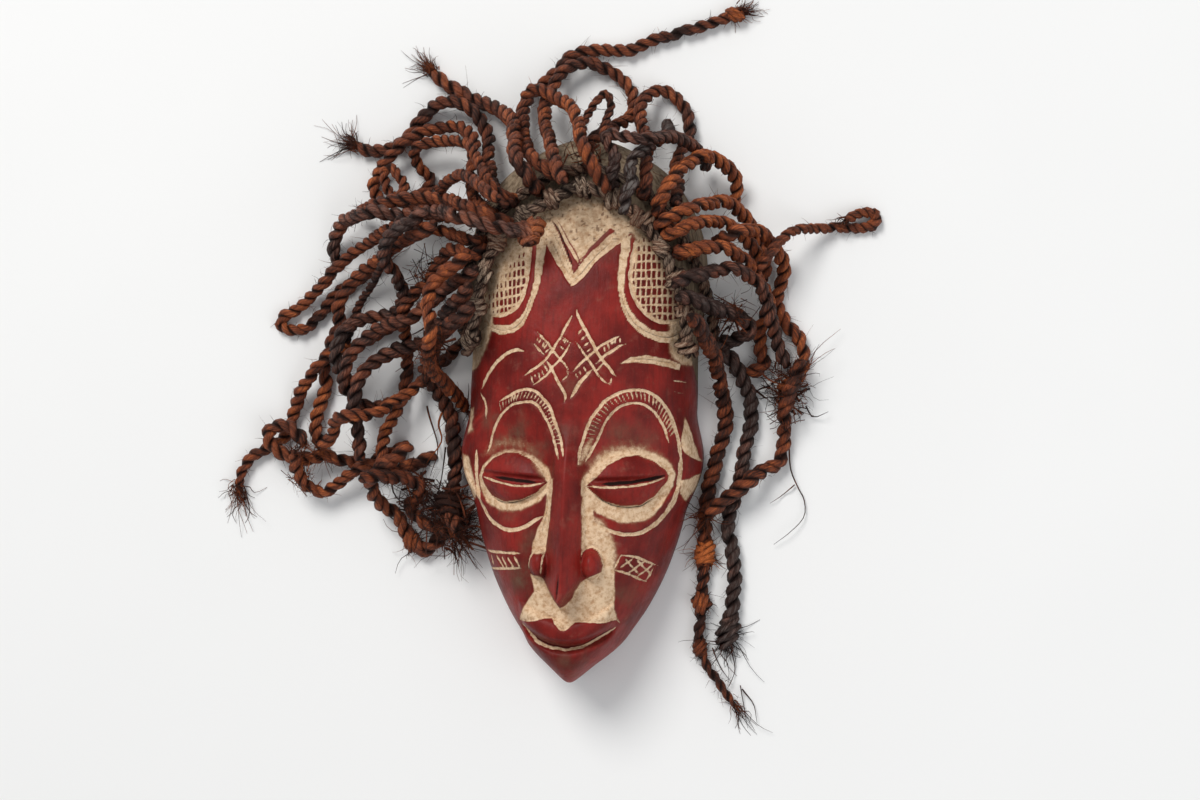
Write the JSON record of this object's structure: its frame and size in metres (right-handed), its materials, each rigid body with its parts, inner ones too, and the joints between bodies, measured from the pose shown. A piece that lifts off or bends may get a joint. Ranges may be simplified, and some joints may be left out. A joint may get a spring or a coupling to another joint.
{
  "type": "carved wooden face mask",
  "caption": "Carved and stained wooden face mask, hollow behind, with a knotted band along the hairline and a wig of loose twisted fibre ropes.",
  "frame": {"origin": "middle of the carved wood's footprint, on the plane that the rim lies on", "axes": "+Y from the chin to the crown, +Z the way the face looks, +X the viewer's right"},
  "size_m": [0.3465, 0.3764, 0.0837],
  "materials": {
    "stained_wood": "red-brown stain with a dull polish, pale filler rubbed into the cut lines, bare grey wood at the crown",
    "band_fibre": "dusty knotted plant fibre",
    "rope_fibre": "two-ply twisted plant fibre, red-brown to black, with stray hairs"
  },
  "bodies": {
    "root": {"mask": "stained_wood", "hair_band": "band_fibre", "hair_braid": "band_fibre", "rope_lock_01": "rope_fibre", "rope_lock_02": "rope_fibre", "rope_lock_03": "rope_fibre", "rope_lock_04": "rope_fibre", "rope_lock_05": "rope_fibre", "rope_lock_06": "rope_fibre", "rope_lock_07": "rope_fibre", "rope_lock_08": "rope_fibre", "rope_lock_09": "rope_fibre", "rope_lock_10": "rope_fibre", "rope_lock_11": "rope_fibre", "rope_lock_12": "rope_fibre", "rope_lock_13": "rope_fibre", "rope_lock_14": "rope_fibre", "rope_lock_15": "rope_fibre", "rope_lock_16": "rope_fibre", "rope_lock_17": "rope_fibre", "rope_lock_18": "rope_fibre", "rope_lock_19": "rope_fibre", "rope_lock_20": "rope_fibre", "rope_lock_21": "rope_fibre", "rope_lock_22": "rope_fibre", "rope_lock_23": "rope_fibre", "rope_lock_24": "rope_fibre", "rope_lock_25": "rope_fibre", "rope_lock_26": "rope_fibre", "rope_lock_27": "rope_fibre", "rope_lock_28": "rope_fibre", "rope_lock_29": "rope_fibre", "rope_lock_30": "rope_fibre", "rope_lock_31": "rope_fibre", "rope_lock_32": "rope_fibre", "rope_lock_33": "rope_fibre", "rope_lock_34": "rope_fibre", "rope_lock_35": "rope_fibre", "rope_lock_36": "rope_fibre", "rope_lock_37": "rope_fibre", "rope_lock_38": "rope_fibre", "rope_lock_39": "rope_fibre", "rope_lock_40": "rope_fibre"}
  },
  "joints": []
}
